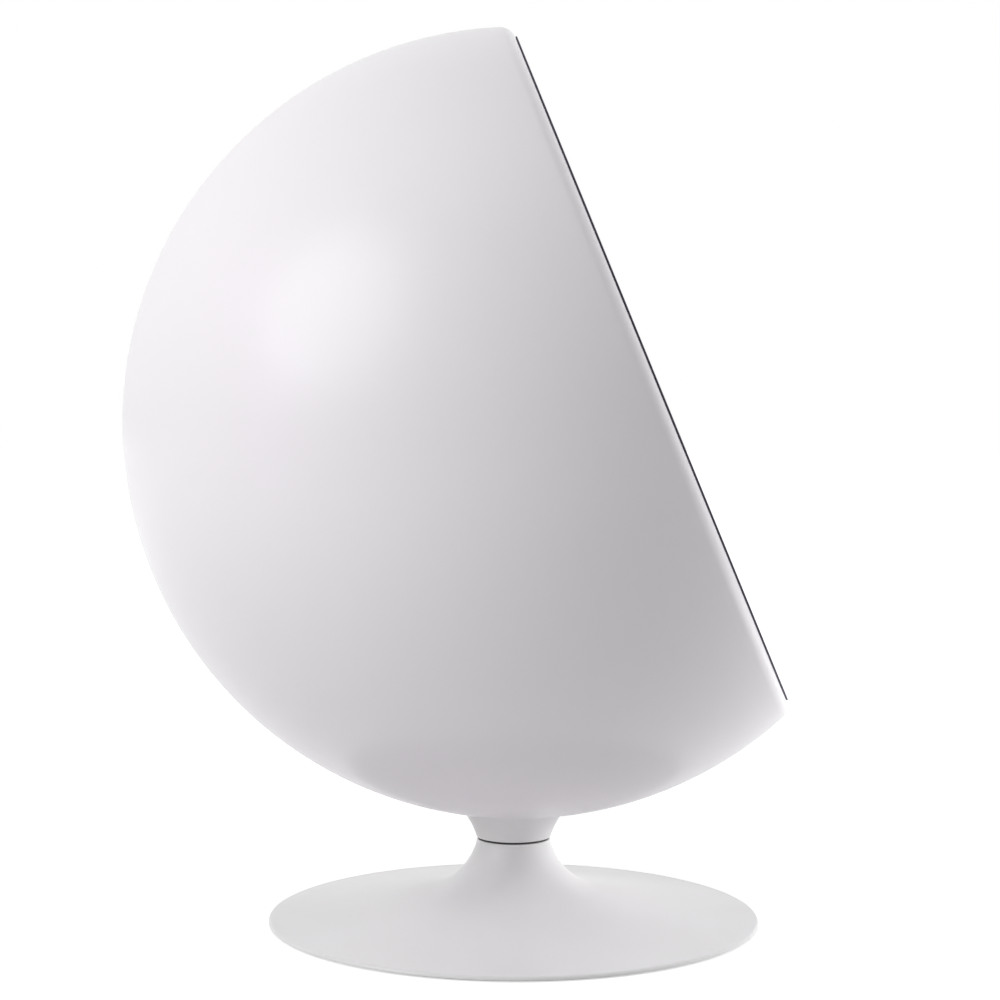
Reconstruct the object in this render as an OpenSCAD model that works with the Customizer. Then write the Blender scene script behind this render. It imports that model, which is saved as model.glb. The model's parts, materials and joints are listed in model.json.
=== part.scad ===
// Pod chair: an open spherical shell on a swivelling trumpet foot.
// Millimetres. The origin is on the swivel axis at floor level, +Z is up and the opening faces -Y.

/* [Shell] */
// Outer diameter of the spherical shell
shell_d = 1050; // [980:5:1120]
// Thickness of the moulded shell
shell_wall = 7; // [5:0.5:10]
// Height of the shell's lowest point above the floor
shell_low = 146; // [138:1:165]
// Distance of the shell's centre in front of the swivel axis
shell_forward = 4; // [0:1:12]
// Distance from the shell's centre to the crest of the opening's lip
rim_offset = 194; // [150:1:240]
// Angle by which the opening leans back
rim_tilt = 22.5; // [15:0.5:30]
// Outer radius of the rolled lip
lip_r = 22; // [18:0.5:28]

/* [Rim trim] */
// Thickness of the padded roll over the lip
roll_t = 3; // [2:0.5:6]
// Diameter of the piping at the roll's outer edge
welt_d = 3.4; // [2.6:0.2:6]
// Angle from the lip's crest out to the piping
welt_angle = 0; // [-4:1:20]

/* [Lining] */
// Number of padded gores round the inside
gore_count = 8; // [6:1:12]
// Diameter of the round panel where the gores meet
cap_d = 360; // [240:10:420]
// Width of the seam between two panels
seam_gap = 0.6; // [0.4:0.1:1]

/* [Seat] */
// Height of the top of the foam base
seat_pad_top = 330; // [310:1:350]
// Distance from the shell's centre to the foam base's front face
seat_pad_front = 150; // [120:1:160]
// Height of the seat cushion's side
seat_cushion_h = 96; // [80:1:110]
// Extra height of the seat cushion's crown
seat_crown = 20; // [8:1:30]
// Reach of the seat cushion in front of the shell's centre
seat_reach_front = 300; // [260:1:310]
// Reach of the seat cushion behind the shell's centre
seat_reach_back = 380; // [340:1:388]
// Depth of the round on the seat cushion's edges
seat_edge_r = 26; // [12:1:34]

/* [Back] */
// Width of the back cushion
back_w = 600; // [480:10:640]
// Height of the back cushion
back_h = 390; // [320:10:410]
// Angle by which the back cushion reclines
back_recline = 10; // [4:1:14]
// Height of the back cushion's middle above the shell's centre line
back_rise = 15; // [15:1:40]
// Distance from the shell's centre to the back cushion's front edge
back_front = 350; // [335:1:362]
// Extra fullness of the back cushion's crown
back_crown = 22; // [8:1:34]
// How far the back cushion's sides draw in between its corners
back_draw_in = 9; // [0:1:20]

/* [Base] */
// Diameter of the trumpet foot
base_d = 662; // [600:2:720]
// Height of the foot's upper edge
base_edge_top = 7; // [6:0.5:12]
// Height of the underside of the foot's rim
base_edge_low = 2; // [2:0.5:3.5]
// Wall of the foot
base_wall = 5; // [4:0.5:6]
// Width of the flat rim under the foot's edge
base_rim_w = 28; // [24:1:40]
// Diameter of the neck at the swivel seam
neck_d = 98.6; // [96:0.2:110]
// Height of the neck at the swivel seam
neck_top = 111; // [106:0.5:113]
// Lean of the neck's side from upright at the seam
neck_lean = 12; // [8:1:18]
// Radius of the curve from the neck into the foot
flare_r = 90; // [84:0.5:98]
// Slope of the foot where that curve ends
flare_end_slope = 14; // [13:0.5:16]
// Outer diameter of the glide ring
glide_d = 650; // [580:1:652]
// Width of the glide ring
glide_w = 18; // [10:1:20]
// How far the glide ring sits in the rim's groove
glide_seat = 1; // [0.5:0.1:1.5]

/* [Ballast] */
// Outer diameter of the cast ballast
ballast_d = 480; // [400:5:520]
// Diameter of the ballast's centre hole
ballast_bore_d = 64; // [58:1:70]
// Height of the ballast's flat top
ballast_top = 30; // [28:0.5:31]
// Thickness of the cover plate under the ballast
cover_t = 2; // [1.5:0.1:2.5]
// Number of bosses and screws that hold the ballast
boss_count = 6; // [4:1:8]
// Circle on which the bosses lie
boss_pcd = 260; // [220:2:300]
// Diameter of a boss
boss_d = 20; // [18:1:24]
// Height of a boss's lower face
boss_low = 20; // [19:0.5:22]
// Circle on which the cover screws lie
cover_screw_pcd = 420; // [360:5:440]

/* [Swivel collar] */
// Diameter of the collar at the seam
collar_d = 100.5; // [98:0.5:110]
// Height of the dark seam between neck and collar
seam_h = 3; // [2:0.2:4]
// Lean of the collar's side from upright at the seam
collar_lean = 18; // [10:1:24]
// Radius of the collar's flare up to the shell
collar_flare_r = 114; // [100:1:130]
// Diameter of the hub under the collar
hub_d = 84; // [76:1:86]
// Thickness of the collar's floor above the seam
collar_floor = 10; // [8:1:14]
// Diameter of the hollow over the collar's floor
collar_hollow_d = 56; // [50:1:60]

/* [Swivel bearing] */
// Diameter of the spindle
spindle_d = 25; // [20:1:28]
// Outer diameter of the bearing tube
tube_d = 52; // [48:1:54]
// Bore of the bearing tube
tube_bore_d = 38; // [34:1:40]
// Diameter of the tube's flange
flange_d = 132; // [120:1:140]
// Thickness of the tube's flange
flange_t = 8; // [6:0.5:10]
// Length of each bush
bush_l = 20; // [14:1:26]
// Diameter of a bearing ball
ball_d = 8; // [6:0.5:9]
// Number of bearing balls
ball_count = 16; // [12:1:18]
// Circle on which the balls run
ball_pcd = 64; // [60:1:68]
// Outer diameter of the bearing races
race_d = 88; // [84:1:90]
// Bore of the bearing races
race_bore_d = 42; // [40:1:46]
// Thickness of a bearing race
race_t = 4.5; // [4:0.1:5]
// Depth of the groove in a race
groove_h = 1.2; // [0.8:0.1:1.5]
// Thickness of the ball cage
cage_t = 3; // [2:0.1:3.4]

/* [Shell fixing] */
// Diameter of the clamp plate inside the shell
clamp_d = 170; // [150:1:180]
// Thickness of the clamp plate at its middle
clamp_t = 14; // [12:0.5:16]
// Circle on which the collar bolts lie
collar_bolt_pcd = 92; // [86:1:96]
// Number of collar bolts
collar_bolt_count = 6; // [4:1:8]
// Thread diameter of the bolts
bolt_d = 8; // [6:1:8]
// Thread diameter of the cover screws
cover_screw_d = 4; // [3:0.5:5]

/* [Hidden] */
$fn = 160;

white = "#f4f2f2";
fabric_dark = "#4b4652";
foam_grey = "#6d6874";
rubber_dark = "#2a2829";
steel = "#a9acb0";
iron = "#4d4f52";
bronze = "#a8804a";

// Clearances: a seat, a close fit, a running fit, a bolt's hole, a head's pocket, and the overrun of a cut
seat_gap = 0.3;
slide_gap = 0.1;
run_gap = 0.05;
hole_play = 1;
head_play = 1;
cut = 1;

// Shell, in its own frame: the centre of the sphere, with +Z out through the opening
shell_r = shell_d / 2;
inner_r = shell_r - shell_wall;
shell_z = shell_low + shell_r;
lip_c = shell_r - lip_r;
lip_c_n = rim_offset - lip_r;
lip_ray = asin(lip_c_n / lip_c);
lip_inner_r = shell_r - 2 * lip_r;
lining_outer_r = inner_r - seat_gap;
lining_inner_r = lip_inner_r + shell_wall - seat_gap;
cap_angle = asin(cap_d / 2 / lining_inner_r);
seat_sphere_r = lining_inner_r - seat_gap;
welt_r = welt_d / 2;

// Foot: the flare's arc, then a flat arc that leaves it smoothly and ends at the edge
base_r = base_d / 2;
neck_r = neck_d / 2;
flare_c = [neck_r, neck_top] + flare_r * [cos(neck_lean), sin(neck_lean)];
flare_end = flare_c - flare_r * [sin(flare_end_slope), cos(flare_end_slope)];
disc_run = base_r - flare_end[0];
disc_fall = flare_end[1] - base_edge_top;
disc_turn = flare_end_slope - atan(disc_fall / disc_run);
disc_r = norm([disc_run, disc_fall]) / (2 * sin(disc_turn));
disc_c = flare_end + disc_r * [sin(flare_end_slope), cos(flare_end_slope)];
cavity_r = base_r - base_rim_w;
cover_top = base_edge_low + cover_t;
ballast_gap = 0.5;
boss_thread = 10;
cover_screw_l = 12;

// Swivel, worked down from the hub
collar_z = neck_top + seam_h;
collar_r = collar_d / 2;
collar_flare_c = [collar_r, collar_z] + collar_flare_r * [cos(collar_lean), -sin(collar_lean)];
collar_floor_top = collar_z + collar_floor;
hub_drop = 2.4;
hub_z = neck_top - hub_drop;
seal_recess = 1;
seal_d = neck_d - 2 * seal_recess;
ball_r = ball_d / 2;
ball_z = hub_z - race_t - ball_r + groove_h;
race_low_top = ball_z - ball_r + groove_h;
race_seat_z = race_low_top - race_t;
web_t = 8;
tube_low = 12;
tube_bolt_count = 4;
tube_bolt_pcd = 98;
tube_bolt_l = 26;
spindle_head_d = 46;
spindle_head_t = 8;
circlip_z = 20;
circlip_t = 2;
circlip_groove = 1.2;
circlip_ring = 2.6;
circlip_mouth = 8;
spindle_end = 5;
washer_t = 2.5;
washer_d = 37;
bush_low = circlip_z + circlip_t + washer_t + seat_gap;

// Fasteners: heads, sockets and washers follow the thread
hex_head_share = 1.625;
hex_height_share = 0.66;
cap_head_share = 1.5;
socket_share = 0.75;
countersink_share = 2;
washer_d_share = 2;
washer_t_share = 0.2;
hex_head_h = hex_height_share * bolt_d;
bolt_washer_t = washer_t_share * bolt_d;
bolt_hole_d = bolt_d + hole_play;
thread_hole_d = bolt_d + 2 * slide_gap;
cap_seat_z = cover_top + bolt_d + head_play;
ballast_screw_l = boss_low + boss_thread - cap_seat_z;
clamp_bottom = shell_z - inner_r;
clamp_top = clamp_bottom + clamp_t;
collar_bolt_low = collar_floor_top + bolt_d;
collar_bolt_top = clamp_top + bolt_washer_t;
pocket_top = collar_bolt_top + hex_head_h + head_play;

// Cushions: ring counts and hand-chosen shares of each cushion's height, edge and half size
cushion_steps = 72;
side_shares = [[0, 1], [0.05, 0.45], [0.18, 0.1], [0.45, 0], [0.75, 0.08], [0.93, 0.42], [1, 1]];
crown_shares = [0.86, 0.68, 0.46, 0.22];
back_edge_share = 0.93;
back_side_shares = [[0.93, 1], [0.98, 0.86], [1, 0.5], [0.98, 0.14], [0.93, 0]];
blend_power = 9;
corner_power = 3.4;

// Puts a child drawn in the shell's frame where the shell stands
module in_shell() {
    translate([0, -shell_forward, shell_z]) rotate([90 - rim_tilt, 0, 0]) children();
}

// Copies of a child at even steps round the Z axis
module around(count, radius) {
    for (i = [0 : count - 1]) rotate([0, 0, i * 360 / count]) translate([radius, 0, 0]) children();
}

// Half-plane of the shell's section on the pole's side of a ray, which rises from the equator
module below_ray(angle) {
    far = 2 * shell_r;
    polygon([[0, 0], far * [cos(angle), sin(angle)], [far, -far], [0, -far]]);
}

// Section of a spherical layer between two radii, from the pole to a ray
module layer_section(r_out, r_in, ray) {
    intersection() {
        difference() {
            circle(r_out);
            circle(r_in);
        }
        below_ray(ray);
    }
}

// Region under the foot's curve, moved inwards by inset
module under_curve(inset, r_out, z_low, z_high) {
    difference() {
        translate([0, z_low]) square([r_out, z_high - z_low]);
        translate(flare_c) circle(flare_r + inset);
        intersection() {
            translate(disc_c) circle(disc_r + inset);
            translate([flare_c[0] - (flare_r + inset) * sin(flare_end_slope), z_low - cut])
                square([base_r, disc_r]);
        }
    }
}

// Plain ring from a bore to an outer diameter
module ring(d, bore, z, h) {
    translate([0, 0, z]) difference() {
        cylinder(d = d, h = h);
        translate([0, 0, -cut]) cylinder(d = bore, h = h + 2 * cut);
    }
}

// Hexagon bolt with its head's underside at the origin and its shank pointing down
module hex_bolt(length) {
    translate([0, 0, -length]) cylinder(d = bolt_d, h = length + hex_head_h / 2);
    cylinder(d = hex_head_share * bolt_d / cos(30), h = hex_head_h, $fn = 6);
}

// Socket screw with its head's face at the origin and its shank pointing up
module cap_screw(length) {
    translate([0, 0, -bolt_d]) difference() {
        cylinder(d = cap_head_share * bolt_d, h = bolt_d);
        translate([0, 0, -cut])
            cylinder(d = socket_share * bolt_d / cos(30), h = bolt_d / 2 + cut, $fn = 6);
    }
    translate([0, 0, -bolt_d / 4]) cylinder(d = bolt_d, h = length + bolt_d / 4);
}

// Race of the thrust bearing, with the balls' groove
module race(z) {
    difference() {
        ring(race_d, race_bore_d, z, race_t);
        rotate_extrude() translate([ball_pcd / 2, ball_z]) circle(ball_r + slide_gap);
    }
}

// Bronze bush in the bearing tube
module bush(z) {
    color(bronze) ring(tube_bore_d - 2 * run_gap, spindle_d + 2 * run_gap, z, bush_l);
}

// Closed skin over a stack of rings, all with the same number of points, and a point at each end
module ring_skin(first, rings, last) {
    n = len(rings[0]);
    count = len(rings);
    points = concat([first], [for (r = rings) each r], [last]);
    ends = len(points) - 1;
    faces = concat(
        [for (i = [0 : n - 1]) [0, 1 + i, 1 + (i + 1) % n]],
        [for (k = [0 : count - 2], i = [0 : n - 1])
            [1 + k * n + i, 1 + (k + 1) * n + i, 1 + (k + 1) * n + (i + 1) % n]],
        [for (k = [0 : count - 2], i = [0 : n - 1])
            [1 + k * n + i, 1 + (k + 1) * n + (i + 1) % n, 1 + k * n + (i + 1) % n]],
        [for (i = [0 : n - 1]) [ends, 1 + (count - 1) * n + (i + 1) % n, 1 + (count - 1) * n + i]]
    );
    polyhedron(points, faces);
}

// Reach of the seat cushion from the shell's upright axis at one height, less what its edge draws in
function seat_edge(angle, z, draw) =
    let (
        side = sqrt(pow(seat_sphere_r, 2) - pow(shell_z - z, 2)) - seat_gap - draw,
        front = max(0, -sin(angle)) / (seat_reach_front - draw),
        back = max(0, sin(angle)) / (seat_reach_back - draw)
    )
    pow(pow(1 / side, blend_power) + pow(front, blend_power) + pow(back, blend_power), -1 / blend_power);

// Ring of the seat cushion at one height, scaled towards its middle by share
function seat_ring(z, edge_z, draw, share) =
    [for (i = [0 : cushion_steps - 1])
        let (a = i * 360 / cushion_steps, r = share * seat_edge(a, edge_z, draw))
        [r * cos(a), r * sin(a) - shell_forward, z]];

// Signed power, for the back cushion's outline
function soft_power(x) = sign(x) * pow(abs(x), 2 / corner_power);

// Outline of the back cushion at one angle, with its sides drawn in between the corners
function back_outline(angle) =
    let (draw = back_draw_in * pow(cos(2 * angle), 2))
    [(back_w / 2 - draw) * soft_power(cos(angle)), (back_h / 2 - draw) * soft_power(sin(angle))];

// Point of the back cushion: share of the outline, and share of the way from its front to the lining
function back_point(angle, share, way) =
    let (
        o = share * back_outline(angle),
        x = o[0],
        v = back_rise + o[1],
        rest = sqrt(pow(seat_sphere_r, 2) - x * x - v * v),
        front = back_front - back_crown * max(0, 1 - pow(share / back_edge_share, 2)),
        d = front + way * (rest - front)
    )
    [x, v * sin(back_recline) + d * cos(back_recline) - shell_forward,
        v * cos(back_recline) - d * sin(back_recline) + shell_z];

// Ring of the back cushion
function back_ring(share, way) =
    [for (i = [0 : cushion_steps - 1]) back_point(i * 360 / cushion_steps, share, way)];

module base_trumpet() {
    color(white) {
        difference() {
            rotate_extrude() under_curve(0, base_r, base_edge_low, neck_top);
            rotate_extrude() under_curve(base_wall, cavity_r, base_edge_low - cut, neck_top + cut);
            ring(glide_d + 2 * slide_gap, glide_d - 2 * glide_w - 2 * slide_gap, base_edge_low - cut,
                glide_seat + cut);
        }
        // Web that carries the thrust bearing
        rotate_extrude() intersection() {
            under_curve(base_wall / 2, cavity_r, base_edge_low, neck_top);
            translate([tube_d / 2 + slide_gap, race_seat_z - web_t]) square([base_r, web_t]);
        }
        // Tapped bosses for the ballast
        difference() {
            intersection() {
                around(boss_count, boss_pcd / 2) translate([0, 0, boss_low])
                    cylinder(d = boss_d, h = neck_top);
                rotate_extrude() under_curve(base_wall / 2, cavity_r, base_edge_low, neck_top);
            }
            around(boss_count, boss_pcd / 2) cylinder(d = thread_hole_d, h = boss_low + boss_thread + cut);
        }
    }
}

module glide_ring() {
    color(rubber_dark) ring(glide_d, glide_d - 2 * glide_w, 0, base_edge_low + glide_seat);
}

module base_ballast() {
    color(iron) difference() {
        rotate_extrude() intersection() {
            under_curve(base_wall + ballast_gap, ballast_d / 2, cover_top, neck_top);
            translate([ballast_bore_d / 2, 0]) square([ballast_d, ballast_top]);
        }
        around(boss_count, boss_pcd / 2) {
            translate([0, 0, boss_low]) cylinder(d = boss_d + 2 * seat_gap, h = ballast_top);
            cylinder(d = bolt_hole_d, h = ballast_top);
            cylinder(d = cap_head_share * bolt_d + hole_play, h = cap_seat_z);
        }
        tube_bolt_places() translate([0, 0, -tube_bolt_l - cut])
            cylinder(d = thread_hole_d, h = 2 * tube_bolt_l);
        cover_screw_places() cylinder(d = cover_screw_d + 2 * slide_gap, h = cover_t + cover_screw_l + cut);
    }
}

// Places of the tube's bolts, on top of its flange
module tube_bolt_places() {
    rotate([0, 0, 180 / tube_bolt_count]) around(tube_bolt_count, tube_bolt_pcd / 2)
        translate([0, 0, ballast_top + flange_t]) children();
}

// Places of the cover screws, on the cover's lower face
module cover_screw_places() {
    rotate([0, 0, 180 / boss_count]) around(boss_count, cover_screw_pcd / 2)
        translate([0, 0, base_edge_low]) children();
}

module ballast_screws() {
    color(steel) around(boss_count, boss_pcd / 2) translate([0, 0, cap_seat_z]) cap_screw(ballast_screw_l);
}

module cover_plate() {
    color(iron) difference() {
        translate([0, 0, base_edge_low]) cylinder(r = cavity_r - seat_gap, h = cover_t);
        cover_screw_places() translate([0, 0, -slide_gap])
            cylinder(d1 = countersink_share * cover_screw_d + 2 * slide_gap,
                d2 = cover_screw_d + 2 * slide_gap, h = cover_t + 2 * slide_gap);
    }
}

module cover_screws() {
    color(steel) cover_screw_places() {
        cylinder(d1 = countersink_share * cover_screw_d, d2 = cover_screw_d, h = cover_t);
        translate([0, 0, cover_t / 2]) cylinder(d = cover_screw_d, h = cover_screw_l);
    }
}

module bearing_tube() {
    color(steel) difference() {
        union() {
            ring(tube_d, tube_bore_d, tube_low, race_seat_z - tube_low);
            ring(flange_d, tube_bore_d, ballast_top, flange_t);
        }
        tube_bolt_places() translate([0, 0, -flange_t - cut])
            cylinder(d = bolt_hole_d, h = flange_t + 2 * cut);
    }
}

module tube_bolts() {
    color(steel) tube_bolt_places() hex_bolt(tube_bolt_l);
}

module lower_bush() {
    bush(bush_low);
}

module upper_bush() {
    bush(race_seat_z - bush_l);
}

module thrust_race_lower() {
    color(steel) race(race_seat_z);
}

module ball_cage() {
    color(bronze) difference() {
        ring(race_d - 2 * cage_t, race_bore_d + 2 * cage_t, ball_z - cage_t / 2, cage_t);
        around(ball_count, ball_pcd / 2) translate([0, 0, ball_z - cage_t])
            cylinder(d = ball_d + 2 * seat_gap, h = 2 * cage_t);
    }
}

module bearing_balls() {
    color(steel) around(ball_count, ball_pcd / 2) translate([0, 0, ball_z]) sphere(d = ball_d, $fn = 48);
}

module thrust_race_upper() {
    color(steel) race(hub_z - race_t);
}

module spindle() {
    color(steel) difference() {
        union() {
            translate([0, 0, circlip_z - spindle_end])
                cylinder(d = spindle_d, h = collar_floor_top + spindle_end - circlip_z);
            translate([0, 0, collar_floor_top]) cylinder(d = spindle_head_d, h = spindle_head_t);
        }
        ring(2 * spindle_d, spindle_d - 2 * circlip_groove, circlip_z, circlip_t);
    }
}

module spindle_washer() {
    color(bronze) ring(washer_d, spindle_d + 2 * slide_gap, circlip_z + circlip_t, washer_t);
}

module spindle_circlip() {
    color(steel) difference() {
        ring(spindle_d + 2 * circlip_ring, spindle_d - 2 * circlip_groove + 2 * slide_gap,
            circlip_z, circlip_t);
        translate([0, -circlip_mouth / 2, circlip_z - cut])
            cube([spindle_d, circlip_mouth, circlip_t + 2 * cut]);
    }
}

module swivel_seal() {
    color(rubber_dark) ring(seal_d, hub_d + 2 * seat_gap, neck_top + seat_gap, seam_h - seat_gap);
}

module swivel_collar() {
    color(white) difference() {
        rotate_extrude() difference() {
            union() {
                difference() {
                    translate([0, collar_z]) square([clamp_d / 2, clamp_bottom - collar_z]);
                    translate(collar_flare_c) circle(collar_flare_r);
                }
                translate([0, hub_z]) square([hub_d / 2, collar_floor_top - hub_z]);
            }
            translate([0, collar_floor_top]) square([collar_hollow_d / 2, clamp_bottom]);
            square([spindle_d / 2 + slide_gap, clamp_bottom]);
        }
        translate([0, -shell_forward, shell_z]) sphere(shell_r + seat_gap);
        around(collar_bolt_count, collar_bolt_pcd / 2) translate([0, 0, collar_bolt_low - cut])
            cylinder(d = thread_hole_d, h = clamp_bottom);
    }
}

module collar_bolts() {
    color(steel) around(collar_bolt_count, collar_bolt_pcd / 2) translate([0, 0, collar_bolt_top])
        hex_bolt(collar_bolt_top - collar_bolt_low);
}

module bolt_washers() {
    color(steel) around(collar_bolt_count, collar_bolt_pcd / 2)
        ring(washer_d_share * bolt_d, bolt_hole_d, clamp_top, bolt_washer_t);
}

module clamp_plate() {
    color(iron) difference() {
        intersection() {
            translate([0, 0, clamp_bottom - cut]) cylinder(d = clamp_d, h = clamp_t + cut);
            translate([0, -shell_forward, shell_z]) sphere(inner_r - seat_gap);
        }
        cylinder(d = collar_hollow_d, h = shell_z);
        around(collar_bolt_count, collar_bolt_pcd / 2) cylinder(d = bolt_hole_d, h = shell_z);
    }
}

// Frame of the lip's section: the origin at its centre, +X along the ray outwards, +Y to the crest
module at_lip() {
    rotate(lip_ray) translate([lip_c, 0]) children();
}

module shell() {
    color(white) difference() {
        in_shell() rotate_extrude() {
            layer_section(shell_r, inner_r, lip_ray);
            at_lip() difference() {
                circle(lip_r);
                circle(lip_r - shell_wall);
                translate([-shell_r, -2 * shell_r]) square(2 * shell_r);
            }
        }
        around(collar_bolt_count, collar_bolt_pcd / 2) cylinder(d = bolt_hole_d, h = shell_z);
    }
}

module rim_roll() {
    start = 90 - lip_ray - welt_angle + asin((welt_r + seat_gap) / (lip_r + welt_r));
    color(fabric_dark) in_shell() rotate_extrude() at_lip() {
        intersection() {
            difference() {
                circle(lip_r + roll_t);
                circle(lip_r + slide_gap);
            }
            polygon([[0, 0], shell_r * [cos(start), sin(start)], [-shell_r, shell_r],
                [-shell_r, -slide_gap], [-lip_r, -slide_gap]]);
        }
        // Turned end that covers the edge of the lip
        translate([-lip_r - roll_t, -roll_t]) square([roll_t + shell_wall - seat_gap, roll_t - slide_gap]);
    }
}

module rim_welt() {
    color(fabric_dark) in_shell() rotate_extrude() at_lip() rotate(90 - lip_ray - welt_angle)
        translate([lip_r + welt_r + slide_gap, 0]) circle(welt_r);
}

module lining_gores() {
    step = 360 / gore_count;
    seam_turn = asin(seam_gap / lining_inner_r);
    color(fabric_dark) difference() {
        in_shell() difference() {
            rotate_extrude() difference() {
                layer_section(lining_outer_r, lining_inner_r, lip_ray - seam_turn);
                below_ray(cap_angle + seam_turn - 90);
            }
            // Seams, with the middle of a gore at the bottom
            for (i = [0 : gore_count - 1]) rotate([0, 0, (i + 0.5) * step - 90])
                translate([0, -seam_gap / 2, -shell_r]) cube([shell_r, seam_gap, 2 * shell_r]);
        }
        cylinder(d = clamp_d + 2 * head_play, h = pocket_top);
    }
}

module lining_cap() {
    color(fabric_dark) in_shell() rotate_extrude()
        layer_section(lining_outer_r, lining_inner_r, cap_angle - 90);
}

module seat_base_foam() {
    color(foam_grey) intersection() {
        translate([0, -shell_forward, shell_z]) sphere(seat_sphere_r);
        translate([-shell_r, -shell_r, 0]) cube([2 * shell_r, 2 * shell_r, seat_pad_top]);
        in_shell() translate([-shell_r, -shell_r, seat_pad_front - 2 * shell_r]) cube(2 * shell_r);
    }
}

module seat_cushion() {
    low = seat_pad_top + seat_gap;
    high = low + seat_cushion_h;
    sides = [for (s = side_shares)
        let (z = low + s[0] * seat_cushion_h) seat_ring(z, z, s[1] * seat_edge_r, 1)];
    crown = [for (s = crown_shares) seat_ring(high + seat_crown * (1 - s * s), high, seat_edge_r, s)];
    color(fabric_dark) ring_skin([0, -shell_forward, low], concat(sides, crown),
        [0, -shell_forward, high + seat_crown]);
}

module back_cushion() {
    inner = [for (i = [len(crown_shares) - 1 : -1 : 1]) back_ring(crown_shares[i], 1)];
    sides = [for (s = back_side_shares) back_ring(s[0], s[1])];
    crown = [for (s = crown_shares) back_ring(s * back_edge_share, 0)];
    color(fabric_dark) ring_skin(back_point(0, 0, 1), concat(inner, sides, crown), back_point(0, 0, 0));
}

base_trumpet();
glide_ring();
base_ballast();
ballast_screws();
cover_plate();
cover_screws();
bearing_tube();
tube_bolts();
lower_bush();
upper_bush();
thrust_race_lower();
ball_cage();
bearing_balls();
thrust_race_upper();
spindle();
spindle_washer();
spindle_circlip();
swivel_seal();
swivel_collar();
collar_bolts();
bolt_washers();
clamp_plate();
shell();
rim_roll();
rim_welt();
lining_gores();
lining_cap();
seat_base_foam();
seat_cushion();
back_cushion();
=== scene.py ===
"""Pod chair: a moulded spherical shell on a swivelling trumpet foot, lined and cushioned inside.

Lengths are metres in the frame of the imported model: +Z is up the swivel axis, -Y is out through the opening.
The shell has a frame of its own, with its origin at the sphere's centre and +Z out through the opening.
Outlines are drawn in the XZ plane with X as the radius, and are then spun round Z.
"""

import json
import math

import bpy
from mathutils import Matrix, Vector, noise


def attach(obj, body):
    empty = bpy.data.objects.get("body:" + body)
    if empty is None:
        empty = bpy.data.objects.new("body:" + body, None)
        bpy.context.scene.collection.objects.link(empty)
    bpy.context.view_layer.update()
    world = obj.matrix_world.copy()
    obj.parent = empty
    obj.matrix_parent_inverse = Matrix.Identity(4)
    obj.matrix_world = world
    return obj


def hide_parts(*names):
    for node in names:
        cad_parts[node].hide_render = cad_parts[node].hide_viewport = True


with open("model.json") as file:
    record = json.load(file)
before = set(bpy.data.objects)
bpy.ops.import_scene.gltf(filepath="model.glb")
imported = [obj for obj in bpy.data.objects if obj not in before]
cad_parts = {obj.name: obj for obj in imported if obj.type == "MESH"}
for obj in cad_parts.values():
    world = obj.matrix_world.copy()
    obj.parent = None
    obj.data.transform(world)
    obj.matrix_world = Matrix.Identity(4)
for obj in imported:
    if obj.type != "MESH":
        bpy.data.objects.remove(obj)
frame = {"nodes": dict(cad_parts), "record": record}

bl_info = {
    "name": "Pod chair",
    "version": (1, 0, 0),
    "blender": (4, 5, 0),
    "location": "View3D > Sidebar > Pod Chair",
    "description": "Builds the pod chair's visible pieces over the packed model",
    "category": "Add Mesh",
}

MM = 0.001
# Corners that are closer than this are one corner
WELD = 0.01 * MM

# Shell and lining
SHELL_R = 525 * MM
SHELL_WALL = 7 * MM
SHELL_CENTRE = Vector((0, -4 * MM, 671 * MM))
RIM_TILT = math.radians(22.5)
OUT = Vector((0, -math.cos(RIM_TILT), math.sin(RIM_TILT)))
IN_SHELL = Matrix.Translation(SHELL_CENTRE) @ Matrix.Rotation(math.pi / 2 - RIM_TILT, 4, "X")
LIP_R = 22 * MM
LIP_RAY = math.degrees(math.asin(172 / 503))
LINING_OUTER_R = 517.7 * MM
LINING_INNER_R = 487.7 * MM
CAP_RAY = math.degrees(math.asin(180 / 487.7)) - 90
GORE_COUNT = 8
GORE_STEP = 360 / GORE_COUNT
SEAT_R = 487.4 * MM
SEAT_BASE_TOP = 330 * MM
SEAT_BASE_FRONT = 150 * MM
WELT_R = 1.2 * MM
ROLL_T = 2.2 * MM
# Radius at which the cloth's threads are laid along the rim
RIM_R = 475 * MM
# Gaps between cloth and shell: where they lie on each other, and where they end beside each other
CLOSE_GAP = 0.1 * MM
SIDE_GAP = 0.3 * MM
# Puckers beside a seam: their pitch along it, how far they reach and how deep they are
PUCKER_PITCH = 17 * MM
PUCKER_REACH = 26 * MM
PUCKER_DEPTH = 1.1 * MM
PUCKER_ROW = 3.1

# Limits of the filled cushions: the seat's top, where it starts to fall under the back cushion, how steeply and
# how far, and the back cushion's underside
SEAT_TOP = 462 * MM
SEAT_FALL_START = 260 * MM
SEAT_FALL = 0.6
SEAT_TOP_REAR = 424 * MM
BACK_LOW = 428 * MM
BACK_RECLINE = math.radians(10)
# Lean of a cushion's surface against its face where its seam runs, and frames that the filling takes
SEAM_LEAN = 0.7
FILL_FRAMES = 20

# Foot and collar
BASE_R = 331 * MM
BASE_EDGE_TOP = 7 * MM
BASE_EDGE_LOW = 2 * MM
BASE_WALL = 5 * MM
NECK_R = 49.3 * MM
NECK_TOP = 111 * MM
NECK_LEAN = 12
FLARE_R = 90 * MM
FLARE_SLOPE = 14
COLLAR_R = 50.25 * MM
COLLAR_LOW = 114 * MM
COLLAR_LEAN = 18
COLLAR_FLARE_R = 114 * MM


def colour(code):
    """Linear colour of an sRGB hex value."""
    channels = [int(code[i:i + 2], 16) / 255 for i in (1, 3, 5)]
    return tuple(c / 12.92 if c <= 0.04045 else ((c + 0.055) / 1.055) ** 2.4 for c in channels) + (1.0,)


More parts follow.
